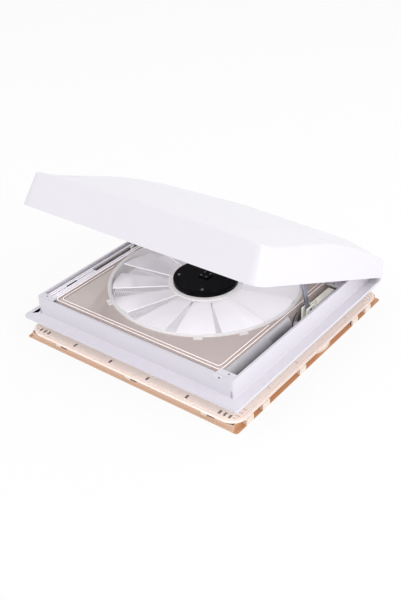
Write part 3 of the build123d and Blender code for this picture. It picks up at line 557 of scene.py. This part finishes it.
def softened(nodeName, width, tool):
    # A copy of a CAD piece with its hard edges rounded
    work = bmesh.new()
    work.from_mesh(nodes[nodeName].data)
    bmesh.ops.remove_doubles(work, verts=work.verts, dist=tool["mergeDistance"])
    bmesh.ops.dissolve_limit(
        work, angle_limit=tool["flatAngle"], verts=work.verts, edges=work.edges)
    bmesh.ops.triangulate(work, faces=[face for face in work.faces if len(face.verts) > 4])
    mesh = bpy.data.meshes.new(nodeName + "_soft")
    work.to_mesh(mesh)
    work.free()
    piece = newPiece(nodeName + "_soft", mesh, bodyOf[nodeName], slotOf[nodeName])
    bevel = piece.modifiers.new("roundEdges", "BEVEL")
    bevel.width = width
    bevel.segments = tool["segments"]
    bevel.limit_method = "ANGLE"
    bevel.angle_limit = tool["edgeAngle"]
    bevel.use_clamp_overlap = True
    bevel.harden_normals = False
    flat = piece.modifiers.new("flatFaces", "WEIGHTED_NORMAL")
    flat.keep_sharp = True
    flat.weight = tool["flatWeight"]
    bpy.context.view_layer.update()
    shown = piece.evaluated_get(bpy.context.evaluated_depsgraph_get())
    final = bpy.data.meshes.new_from_object(shown)
    piece.modifiers.clear()
    piece.data = final
    dress(piece, slotOf[nodeName])
    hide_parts(nodeName)


for nodeName, rounding in edgeRounding.items():
    softened(nodeName, rounding * mm, roundingTool)
print("edges rounded:", len(edgeRounding))


# The ribbed fairing: a curved skin with fine ribs along the right channel, open for the arm
fairingShape = {
    "inner": 187.3 * mm,
    "width": 27.7 * mm,
    "floor": 56.0 * mm,
    "height": 25.0 * mm,
    "front": -203.0 * mm,
    "back": -24.0 * mm,
    "slotInner": 197.5 * mm,
    "slotOuter": 209.6 * mm,
    "slotFront": -86.0 * mm,
    "slotBack": -14.0 * mm,
    "shadeSkinLevels": (0.1 * mm, 0.9 * mm),      # above the channel's floor
    "pitch": 2.6 * mm,
    "depth": 0.7 * mm,
    "wall": 1.6 * mm,
    "rowsPerRib": 4,
    "profileSteps": 12,
    "crispAngle": math.radians(60),
}


def fairingSpan(shape, inner, outer, y0, y1, vertices, faces):
    # One stretch of the ribbed skin between two distances from the middle
    width = shape["width"]
    innerAngle, outerAngle = (
        math.acos(min(max((x - shape["inner"]) / width, 0.0), 1.0)) for x in (inner, outer))
    steps = shape["profileSteps"]
    count = int((y1 - y0) / shape["pitch"]) * shape["rowsPerRib"]
    first = len(vertices)
    for skin in (0, 1):
        for r in range(count + 1):
            y = y0 + (y1 - y0) * r / count
            wave = 0.5 - 0.5 * math.cos(2 * math.pi * r / shape["rowsPerRib"])
            drop = shape["wall"] if skin else shape["depth"] * wave
            for k in range(steps + 1):
                angle = outerAngle + (innerAngle - outerAngle) * k / steps
                x = shape["inner"] + (width - drop) * math.cos(angle)
                z = shape["floor"] + (shape["height"] - drop) * math.sin(angle)
                vertices.append((x, y, z))
    across = steps + 1
    lower = (count + 1) * across
    for r in range(count):
        for k in range(steps):
            a = first + r * across + k
            b = a + across
            faces.append((a, a + 1, b + 1, b))
            faces.append((a + lower, b + lower, b + 1 + lower, a + 1 + lower))
        for k in (0, steps):
            a = first + r * across + k
            b = a + across
            faces.append((a, b, b + lower, a + lower))
    for r in (0, count):
        for k in range(steps):
            a = first + r * across + k
            faces.append((a, a + lower, a + 1 + lower, a + 1))


def buildFairing(shape):
    vertices, faces = [], []
    inner, outer = shape["inner"], shape["inner"] + shape["width"]
    slotInner, slotOuter = shape["slotInner"], shape["slotOuter"]
    slotFront, slotBack = shape["slotFront"], shape["slotBack"]
    steep = dict(shape, width=slotInner - inner)      # it falls faster beside the arm's slot
    fairingSpan(shape, inner, outer, shape["front"], slotFront, vertices, faces)
    fairingSpan(steep, inner, slotInner, slotFront, slotBack, vertices, faces)
    fairingSpan(shape, slotOuter, outer, slotFront, shape["back"], vertices, faces)
    # A flat skin over the channel's floor beside the slot, in the painted shade colour, paints the
    # dark shade there
    levels = [shape["floor"] + z for z in shape["shadeSkinLevels"]]
    squareBox(vertices, faces, (slotInner - shape["wall"], outer), (slotFront, slotBack), levels)
    mesh = finishMesh("channel_ribs", vertices, faces, shape["crispAngle"])
    piece = newPiece("channel_ribs", mesh, "base", "grey_ribbed")
    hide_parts("channel_fairing")


buildFairing(fairingShape)
print("channel fairing built")


# Insect net: fine woven threads in the screen frame, whose corners are round
netShape = {
    "half": 177.3 * mm,
    "corner": 27.0 * mm,
    "level": 18.9 * mm,
    "pitch": 3.2 * mm,
    "thread": 0.5 * mm,
}


def buildNet(shape):
    half, corner, wide = shape["half"], shape["corner"], shape["thread"] / 2
    count = int(2 * half / shape["pitch"])
    threads = []
    for direction in (0, 1):
        low = shape["level"] - wide + direction * wide
        for k in range(1, count):
            place = -half + 2 * half * k / count
            past = abs(place) - (half - corner)
            reach = half
            if past > 0:
                reach += math.sqrt(max(corner ** 2 - past ** 2, 0)) - corner
            along, across = (-reach, reach), (place - wide, place + wide)
            xs, ys = (across, along) if direction else (along, across)
            threads.append((xs, ys, (low, low + wide)))
    piece = boxPiece("insect_net", "net_grey", threads)
    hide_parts("screen_net")


buildNet(netShape)
print("net built")


# Finger guard: close concentric ribs that show between the blades
guardShape = {
    "centre": 46.0 * mm,
    "outer": 175.5 * mm,
    "low": 50.0 * mm,
    "high": 52.6 * mm,
    "pitch": 3.7 * mm,
    "width": 2.5 * mm,
    "spokes": 12,
    "spokeWidth": 4.0 * mm,
    "turns": 120,
    "shaftHole": 6.0 * mm,
    "crispAngle": math.radians(40),
}


def buildGuard(shape):
    vertices, faces = [], []
    centre, rim = shape["centre"], shape["outer"]
    low, high, turns = shape["low"], shape["high"], shape["turns"]
    ringMesh(vertices, faces, shape["shaftHole"], centre, low, high, turns)
    count = int((rim - centre) / shape["pitch"])
    step = (rim - centre) / count
    for k in range(1, count + 1):
        outer = centre + step * k
        ringMesh(vertices, faces, outer - shape["width"], outer, low, high, turns)
    half = shape["spokeWidth"] / 2
    for k in range(shape["spokes"]):
        angle = 2 * math.pi * k / shape["spokes"]
        c, s = math.cos(angle), math.sin(angle)
        outline = [(r * c - w * s, r * s + w * c)
                   for r, w in ((centre, -half), (rim, -half), (rim, half), (centre, half))]
        boxMesh(vertices, faces, outline, (low, high))
    mesh = finishMesh("guard_ribs", vertices, faces, shape["crispAngle"])
    piece = newPiece("guard_ribs", mesh, "base", "frosted_plastic")
    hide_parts("finger_guard")


buildGuard(guardShape)
print("guard built")


# Painted highlights on the tray's raised ribs: bright lines, broken where the fan's ring stands
# over them
rimHighlightShape = {
    "halfX": 187.0 * mm,
    "halfY": 208.0 * mm,
    "corner": 8.0 * mm,
    "insets": (1.0 * mm, 8.0 * mm),
    "width": 1.6 * mm,
    "levels": (83.9 * mm, 84.3 * mm),
    "cornerSteps": 8,
    "sideRuns": 40,
    "fanClear": 184.0 * mm,
}


def roundedLoop(halfX, halfY, radius, steps):
    points = []
    for index, (sx, sy) in enumerate(((1, 1), (-1, 1), (-1, -1), (1, -1))):
        for k in range(steps + 1):
            angle = index * math.pi / 2 + (math.pi / 2) * k / steps
            points.append((sx * (halfX - radius) + radius * math.cos(angle),
                           sy * (halfY - radius) + radius * math.sin(angle)))
    return points


def buildRimHighlights(shape):
    vertices, faces = [], []
    for rib in shape["insets"]:
        loops = []      # the line's outer and inner edge
        for inset, radius in ((rib, shape["corner"]),
                              (rib + shape["width"], shape["corner"] - shape["width"])):
            loops.append(roundedLoop(shape["halfX"] - inset, shape["halfY"] - inset, radius,
                                     shape["cornerSteps"]))
        outer = loops[0]
        for k in range(len(outer)):
            n = (k + 1) % len(outer)
            length = max(abs(outer[k][0] - outer[n][0]), abs(outer[k][1] - outer[n][1]))
            runs = shape["sideRuns"] if length > shape["corner"] * 2 else 1
            for run in range(runs):
                ends = []
                for t in (run / runs, (run + 1) / runs):
                    for loop in loops:
                        a, b = loop[k], loop[n]
                        ends.append((a[0] + (b[0] - a[0]) * t, a[1] + (b[1] - a[1]) * t))
                if min(math.hypot(x, y) for x, y in ends) < shape["fanClear"]:
                    continue
                outline = (ends[0], ends[1], ends[3], ends[2])
                boxMesh(vertices, faces, outline, shape["levels"])
    mesh = finishMesh("tray_rims", vertices, faces)
    piece = newPiece("tray_rims", mesh, "base", "clear_plastic", smooth=False)
    dress(piece, "rim_highlight")


buildRimHighlights(rimHighlightShape)
print("tray rims built")


# Bright pips at the corners of the hub plug
pipShape = {
    "place": 6.0 * mm,
    "radius": 1.5 * mm,
    "level": 96.2 * mm,
    "height": 0.5 * mm,
}


def buildPips(shape):
    signs = (-1, 1)
    centres = [(sx * shape["place"], sy * shape["place"], shape["level"])
               for sx in signs for sy in signs]
    discPiece("hub_pips", "fan", "steel", centres, shape["radius"], shape["height"])


# The small tab on the front face, with a dark dot
tabShape = {
    "x": (183.0 * mm, 197.0 * mm),
    "y": (-222.2 * mm, -213.0 * mm),
    "z": (79.8 * mm, 85.8 * mm),
    "dotX": 194.0 * mm,
    "dotZ": 82.8 * mm,
    "dotRadius": 1.5 * mm,
    "dotHeight": 0.375 * mm,
}


def buildTab(shape):
    boxPiece("front_tab", "white_lid", [(shape["x"], shape["y"], shape["z"])])
    centre = (shape["dotX"], shape["y"][0], shape["dotZ"])
    discPiece("front_tab_dot", "base", "black_gloss", [centre], shape["dotRadius"],
              shape["dotHeight"], axis="Y")


# Plates over the front corners, each with a dark dot
plateShape = {
    "x": (184.0 * mm, 215.5 * mm),
    "y": (-215.5 * mm, -204.0 * mm),
    "z": (84.3 * mm, 85.9 * mm),
    "dot": (204.0 * mm, -209.5 * mm),
    "dotRadius": 1.5 * mm,
    "dotHeight": 0.1875 * mm,
}


def buildCornerPlates(shape):
    dotX, dotY = shape["dot"]
    for side, word in ((-1, "left"), (1, "right")):
        xs = [side * x for x in shape["x"]]
        boxPiece("corner_plate_" + word, "white_lid", [(xs, shape["y"], shape["z"])])
        centre = (side * dotX, dotY, shape["z"][1])
        discPiece("corner_dot_" + word, "base", "black_gloss", [centre], shape["dotRadius"],
                  shape["dotHeight"])


# Rails on the left strip, of which those in the arm's way stop ahead of it, and a black block in
# its slot as painted shade
railShape = {
    "rails": (      # place across and back end of each
        (-189.4 * mm, 99.0 * mm), (-194.4 * mm, 99.0 * mm), (-198.9 * mm, -88.0 * mm),
        (-205.6 * mm, -88.0 * mm), (-210.6 * mm, 99.0 * mm),
    ),
    "width": 3.0 * mm,
    "front": -203.0 * mm,
    "z": (80.3 * mm, 82.4 * mm),
    "slotX": (-204.0 * mm, -200.5 * mm),
    "slotY": (-160.0 * mm, -135.0 * mm),
    "slotZ": (80.2 * mm, 82.7 * mm),
}


def buildRails(shape):
    half = shape["width"] / 2
    boxPiece("strip_rails", "white_frame", [
        ((x - half, x + half), (shape["front"], back), shape["z"]) for x, back in shape["rails"]])
    # A black block in the slot paints the shade inside it
    boxPiece("strip_slot", "black_foam", [(shape["slotX"], shape["slotY"], shape["slotZ"])])


# Dark floors in the slots along the ledge's front
slotShape = {
    "places": (42.75 * mm, 128.25 * mm, 196.0 * mm, 206.0 * mm, 216.0 * mm),
    "halfWidth": 2.2 * mm,
    "y": (-229.5 * mm, -220.5 * mm),
    "z": (15.8 * mm, 16.15 * mm),
}


def buildSlotFloors(shape):
    half = shape["halfWidth"]
    places = [side * place for place in shape["places"] for side in (-1, 1)]
    boxPiece("slot_floors", "taupe_frame", [
        ((x - half, x + half), shape["y"], shape["z"]) for x in places])


# Outer ends of the side clips
clipShape = {
    "places": (-203.5 * mm, -157.0 * mm, -43.4 * mm, 140.4 * mm, 190.1 * mm),
    "halfWidth": 10.0 * mm,
    "x": (235.0 * mm, 240.3 * mm),
    "z": (0.2 * mm, 11.9 * mm),
}


def buildClipEnds(shape):
    half = shape["halfWidth"]
    boxPiece("clip_ends", "cream_clip", [
        ([side * x for x in shape["x"]], (y - half, y + half), shape["z"])
        for side in (-1, 1) for y in shape["places"]])


# The plate over the rear of the right channel, with two ridges and a dark dot
deckShape = {
    "x": (189.0 * mm, 214.6 * mm),
    "y": (118.0 * mm, 199.0 * mm),
    "z": (78.8 * mm, 80.6 * mm),
    "ridges": (193.5 * mm, 206.5 * mm),
    "ridgeWidth": 2.4 * mm,
    "ridgeY": (130.0 * mm, 199.0 * mm),
    "ridgeZ": (79.8 * mm, 82.2 * mm),
    "dot": (200.0 * mm, 125.0 * mm),
    "dotRadius": 1.68 * mm,
    "dotHeight": 0.3 * mm,
}


def buildDeck(shape):
    half = shape["ridgeWidth"] / 2
    boxes = [(shape["x"], shape["y"], shape["z"])]
    boxes += [((x - half, x + half), shape["ridgeY"], shape["ridgeZ"]) for x in shape["ridges"]]
    boxPiece("rear_deck", "white_frame", boxes)
    centre = shape["dot"] + (shape["z"][1],)
    discPiece("rear_deck_dot", "base", "black_gloss", [centre], shape["dotRadius"],
              shape["dotHeight"])


buildPips(pipShape)
buildTab(tabShape)
buildCornerPlates(plateShape)
buildRails(railShape)
buildSlotFloors(slotShape)
buildClipEnds(clipShape)
buildDeck(deckShape)
print("small details built")


# The lid: leaning walls, a raised front ridge and a faceted crown, built closed, then opened.
# The three height rows are shares of the crown at each station, from the hinge to the front.
lidShape = {
    "hinge": (231.0 * mm, 69.0 * mm),
    "openAngle": math.radians(24.86),
    "rimDrop": 10.0 * mm,
    "halfWidth": 247.6 * mm,
    "reach": 472.6 * mm,
    "back": 15.0 * mm,
    "corner": 24.0 * mm,
    "leastCorner": 0.02,      # share of the lesser half size
    "lean": math.tan(math.radians(10.6)),
    "wall": 3.0 * mm,
    "crown": 82.0 * mm,
    "frontFlare": 5.0 * mm,
    "edgeRadius": 4.5 * mm,
    "overWidth": 1.04,      # where the edge row lies, in half widths
    "creaseWidth": 0.71,      # where the crease lies, as a share of that
    "creaseBlend": 0.05,
    "middleWidth": 0.08,      # the flattened strip down the middle
    "middleDrop": 0.02,
    "stations": (-0.10, 0.047, 0.11, 0.349, 0.527, 0.685, 0.829, 0.908, 0.956, 1.06),
    "edges": (0.30, 0.376, 0.486, 0.658, 0.72, 0.695, 0.66, 0.66, 0.715, 0.715),
    "creases": (0.43, 0.54, 0.67, 0.85, 0.895, 0.89, 0.84, 0.80, 0.775, 0.755),
    "middles": (0.48, 0.60, 0.74, 0.92, 0.935, 0.92, 0.875, 0.84, 0.81, 0.795),
    "taps": (-0.018, -0.009, 0.0, 0.009, 0.018),
    "wallRows": 8,
    "roundRows": 6,
    "topRows": 46,
    "topReach": 0.985,      # how far the rows go in to the middle
    "straightSteps": 40,
    "cornerSteps": 9,
    "crispAngle": math.radians(50),
}


def straightBetween(xs, ys, x):
    # The height at x on straight runs through the given points
    i = 0
    while i < len(xs) - 2 and x > xs[i + 1]:
        i += 1
    t = (x - xs[i]) / (xs[i + 1] - xs[i])
    return ys[i] + (ys[i + 1] - ys[i]) * t


def profileAt(shape, key, place):
    # The mean of a few close places rounds the joints of the runs
    total = 0.0
    for tap in shape["taps"]:
        total += straightBetween(shape["stations"], shape[key], place + tap)
    return total / len(shape["taps"])


def lidHeight(shape, x, distance):
    place = distance / shape["reach"]
    edge = profileAt(shape, "edges", place)
    fold = profileAt(shape, "creases", place)
    middle = profileAt(shape, "middles", place)
    across = abs(x) / (shape["halfWidth"] * shape["overWidth"])
    crease = shape["creaseWidth"]
    inner = middle + (fold - middle) * across / crease
    outer = fold + (edge - fold) * (across - crease) / (1 - crease)
    blend = shape["creaseBlend"]
    t = min(max((across - crease + blend) / (2 * blend), 0.0), 1.0)
    t = t * t * (3 - 2 * t)
    fromMiddle = min(across / shape["middleWidth"], 1.0)
    inner -= (1 - fromMiddle) * (middle - fold) * shape["middleDrop"]
    return shape["crown"] * (inner * (1 - t) + outer * t)


def lidRing(shape, inset):
    # Points round the lid's outline at an inset, the same count for every inset
    halfX = shape["halfWidth"] - inset
    halfY = (shape["reach"] + shape["back"]) / 2 - inset
    middle = (shape["reach"] - shape["back"]) / 2
    radius = max(shape["corner"] - inset, min(halfX, halfY) * shape["leastCorner"])
    centres = [(sx * (halfX - radius), sy * (halfY - radius))
               for sx, sy in ((1, 1), (-1, 1), (-1, -1), (1, -1))]

    def cornerPoint(index, angle):
        x, y = centres[index % 4]
        return (x + radius * math.cos(angle), y + radius * math.sin(angle))

    points = []
    for index in range(4):
        start = index * math.pi / 2
        for k in range(shape["cornerSteps"]):
            angle = start + (math.pi / 2) * k / (shape["cornerSteps"] - 1)
            points.append(cornerPoint(index, angle))
        last = points[-1]
        ahead = cornerPoint(index + 1, start + math.pi / 2)
        for k in range(1, shape["straightSteps"]):
            t = k / shape["straightSteps"]
            points.append((last[0] + (ahead[0] - last[0]) * t, last[1] + (ahead[1] - last[1]) * t))
    flare = shape["frontFlare"] / shape["halfWidth"]
    ring = []
    for x, y in points:
        distance = middle - y
        ring.append((x * (1 + flare * distance / shape["reach"]), distance))
    return ring


def lidToWorld(shape, x, distance, rise):
    hingeY, hingeZ = shape["hinge"]
    dy = -distance
    dz = rise - shape["rimDrop"]
    c, s = math.cos(shape["openAngle"]), math.sin(shape["openAngle"])
    return (x, hingeY + dy * c + dz * s, hingeZ - dy * s + dz * c)


def lidSkin(shape, offset, roundRadius):
    # Rows of rings from the rim up the wall, over the edge and in to the middle
    rings = {}

    def ringPoint(inset, index):
        key = round(inset, 6)
        if key not in rings:
            rings[key] = lidRing(shape, inset)
        return rings[key][index]

    tops = [lidHeight(shape, x, d) - offset - roundRadius for x, d in lidRing(shape, offset)]
    rows = []
    for k in range(shape["wallRows"] + 1):
        t = k / shape["wallRows"]
        rows.append([ringPoint(offset + top * t * shape["lean"], index) + (top * t,)
                     for index, top in enumerate(tops)])
    wallTops = [offset + top * shape["lean"] for top in tops]
    for k in range(1, shape["roundRows"] + 1):
        phi = (math.pi / 2) * k / shape["roundRows"]
        inward = roundRadius * (1 - math.cos(phi))
        below = offset + roundRadius * (1 - math.sin(phi))
        row = []
        for index, inset in enumerate(wallTops):
            x, d = ringPoint(inset + inward, index)
            row.append((x, d, lidHeight(shape, x, d) - below))
        rows.append(row)
    deepest = min(shape["halfWidth"], (shape["reach"] + shape["back"]) / 2) * shape["topReach"]
    for k in range(1, shape["topRows"] + 1):
        t = k / shape["topRows"]
        row = []
        for index, inset in enumerate(wallTops):
            edge = inset + roundRadius
            x, d = ringPoint(edge + (deepest - edge) * t, index)
            row.append((x, d, lidHeight(shape, x, d) - offset))
        rows.append(row)
    return rows


def buildLid(shape):
    outer = lidSkin(shape, 0.0, shape["edgeRadius"])
    inner = lidSkin(shape, shape["wall"], shape["edgeRadius"] / 2)
    vertices, faces = [], []
    count = len(outer[0])

    def addRows(rows, flip):
        first = len(vertices)
        for row in rows:
            vertices.extend(lidToWorld(shape, *point) for point in row)
        for r in range(len(rows) - 1):
            for k in range(count):
                a = first + r * count + k
                b = first + r * count + (k + 1) % count
                quad = (a, b, b + count, a + count)
                faces.append(quad[::-1] if flip else quad)
        cap = tuple(first + (len(rows) - 1) * count + k for k in range(count))
        faces.append(cap[::-1] if flip else cap)
        return first

    outerStart = addRows(outer, False)
    innerStart = addRows(inner, True)
    for k in range(count):
        n = (k + 1) % count
        faces.append((outerStart + n, outerStart + k, innerStart + k, innerStart + n))
    mesh = finishMesh("lid_cover", vertices, faces, shape["crispAngle"])
    piece = newPiece("lid_cover", mesh, "lid", "white_lid")
    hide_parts("lid_shell")


buildLid(lidShape)
print("lid built")


# Floor, backdrop and light
studio = {
    "floorSize": 6.0,
    "floorGap": 0.2 * mm,
    "floorColour": (1.0, 1.0, 1.0, 1),
    "floorRoughness": 0.9,
    "floorGlow": 0.86,
    "white": (1, 1, 1, 1),
    "worldColour": (0.93, 0.92, 0.96, 1),
    "worldStrength": 0.757,
    "lampAim": (0, 0, 0.1),
    "lamps": (      # name, place, power, size
        ("keyLamp", (1.9, -0.3, 1.5), 19.0, 1.6),
        ("fillLamp", (-1.4, -1.2, 1.7), 8.0, 2.0),
        ("backLamp", (0.2, 1.6, 1.8), 3.7, 1.6),
    ),
    "bouncePlace": (0.5, -1.1, 1.0),
    "bounceAim": (0, 0, 0.05),
    "bounceSize": 1.4,
    "bounceLamps": (      # name, power, first letters of the pieces that it lights
        ("ledgeLamp", 24.0, ("ceiling_ledge",)),
        ("insideLamp", 18.0, (
            "fan_", "clear_tray", "tray_", "hub_collar", "foot_bracket", "lift_arm",
            "finger_guard", "guard_", "insect_net", "motor_", "screen_frame", "strip_rails",
            "channel_strip",
        )),
    ),
}


def directRays(tree):
    # 1 for what the camera sees by itself, in a reflection or through clear plastic
    rays = tree.nodes.new("ShaderNodeLightPath")
    seen = mathNode(tree, "MAXIMUM", rays.outputs["Is Camera Ray"], rays.outputs["Is Glossy Ray"])
    return mathNode(tree, "MAXIMUM", seen, rays.outputs["Is Transmission Ray"])


def mixShaders(tree, factor, first, second, end):
    mix = tree.nodes.new("ShaderNodeMixShader")
    for index, value in enumerate((factor, first.outputs[0], second.outputs[0])):
        tree.links.new(value, mix.inputs[index])
    tree.links.new(mix.outputs[0], end.inputs["Surface"])


def makeFloor(values):
    level = cadBox[0][2] - values["floorGap"]
    bpy.ops.mesh.primitive_plane_add(size=values["floorSize"], location=(0, 0, level))
    floor = bpy.context.active_object
    floor.name = "studio_floor"
    material = bpy.data.materials.new("studioFloor")
    material.use_nodes = True
    tree = material.node_tree
    principled = tree.nodes["Principled BSDF"]
    principled.inputs["Base Color"].default_value = values["floorColour"]
    principled.inputs["Roughness"].default_value = values["floorRoughness"]
    glow = tree.nodes.new("ShaderNodeEmission")
    glow.inputs["Color"].default_value = values["white"]
    share = mathNode(tree, "MULTIPLY", directRays(tree), values["floorGlow"])
    mixShaders(tree, share, principled, glow, tree.nodes["Material Output"])
    floor.data.materials.append(material)


def makeWorld(values):
    world = bpy.data.worlds.new("studioWorld")
    world.use_nodes = True
    bpy.context.scene.world = world
    tree = world.node_tree
    back = tree.nodes["Background"]
    back.inputs["Color"].default_value = values["worldColour"]
    back.inputs["Strength"].default_value = values["worldStrength"]
    white = tree.nodes.new("ShaderNodeBackground")
    white.inputs["Color"].default_value = values["white"]
    mixShaders(tree, directRays(tree), back, white, tree.nodes["World Output"])


def addLamp(name, place, aim, power, size):
    data = bpy.data.lights.new(name, "AREA")
    data.energy = power
    data.size = size
    lamp = bpy.data.objects.new(name, data)
    lamp.location = place
    lamp.rotation_euler = (Vector(aim) - Vector(place)).to_track_quat("-Z", "Y").to_euler()
    bpy.context.scene.collection.objects.link(lamp)
    return lamp


def makeLamps(values):
    for name, place, power, size in values["lamps"]:
        addLamp(name, place, values["lampAim"], power, size)
    for name, power, receivers in values["bounceLamps"]:
        # Bounce light that only the named pieces receive, with nothing in its way
        lamp = addLamp(name, values["bouncePlace"], values["bounceAim"], power,
                       values["bounceSize"])
        lamp.data.use_shadow = False
        group = bpy.data.collections.new(name + "Receivers")
        for piece in bpy.data.objects:
            if piece.type == "MESH" and piece.name.startswith(receivers):
                group.objects.link(piece)
        lamp.light_linking.receiver_collection = group


makeFloor(studio)
makeWorld(studio)
makeLamps(studio)
bpy.context.scene.view_settings.view_transform = "Standard"
print("studio ready")
